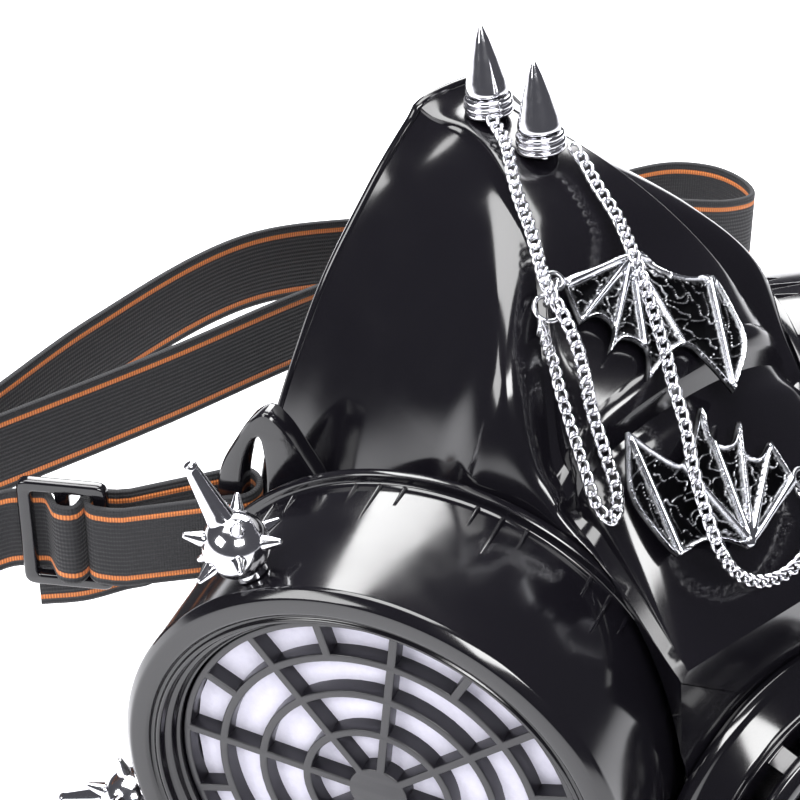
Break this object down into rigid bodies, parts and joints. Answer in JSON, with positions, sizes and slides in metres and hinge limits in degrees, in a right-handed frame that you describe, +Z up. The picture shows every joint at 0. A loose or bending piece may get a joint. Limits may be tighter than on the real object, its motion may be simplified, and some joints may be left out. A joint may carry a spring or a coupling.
{
  "type": "gas mask style costume mask",
  "caption": "Moulded half-face costume mask with side filter canisters, a round front valve, nose spikes, bat wing ornaments, curb chains, studded balls and an elastic head strap.",
  "frame": {"origin": "middle of the floor under the whole mask with its strap, at the height of the canister flanges' lowest point", "axes": "+Z up, +Y to the back towards the wearer's head and the strap, -Y to the front through the valve, +X to the wearer's left"},
  "size_m": [0.2632, 0.1932, 0.1702],
  "materials": {
    "shell_plastic": "glossy black moulded plastic",
    "grille_plastic": "satin black moulded plastic",
    "filter_pad": "pale grey non-woven pad",
    "slider_plastic": "smooth black plastic",
    "polished_steel": "polished bright metal",
    "antique_silver": "cast metal with dark oxidised recesses and bright edges",
    "elastic": "black woven elastic with two thin orange stripes"
  },
  "bodies": {
    "root": {"face_cup": "shell_plastic", "valve_cover": "shell_plastic", "canister_left": "shell_plastic", "canister_right": "shell_plastic", "filter_grille_left": "grille_plastic", "filter_grille_right": "grille_plastic", "filter_pad_left": "filter_pad", "filter_pad_right": "filter_pad", "strap_slider_left": "slider_plastic", "strap_slider_right": "slider_plastic", "nose_spike_back": "polished_steel", "nose_spike_front": "polished_steel", "spike_washers_back": "polished_steel", "spike_washers_front": "polished_steel", "spike_screw_back": "polished_steel", "spike_screw_front": "polished_steel", "chain_left": "polished_steel", "chain_right": "polished_steel", "jump_ring_upper_1": "polished_steel", "jump_ring_upper_2": "polished_steel", "jump_ring_lower_1": "polished_steel", "studded_ball_upper_left": "polished_steel", "studded_ball_upper_right": "polished_steel", "studded_ball_lower_left": "polished_steel", "studded_ball_lower_right": "polished_steel", "wing_upper": "antique_silver", "wing_lower": "antique_silver", "valve_ornament": "antique_silver", "head_strap": "elastic", "crown_strap": "elastic", "lug_strap_left": "elastic", "lug_strap_right": "elastic", "strap_tail_left": "elastic", "strap_tail_right": "elastic"}
  },
  "joints": []
}
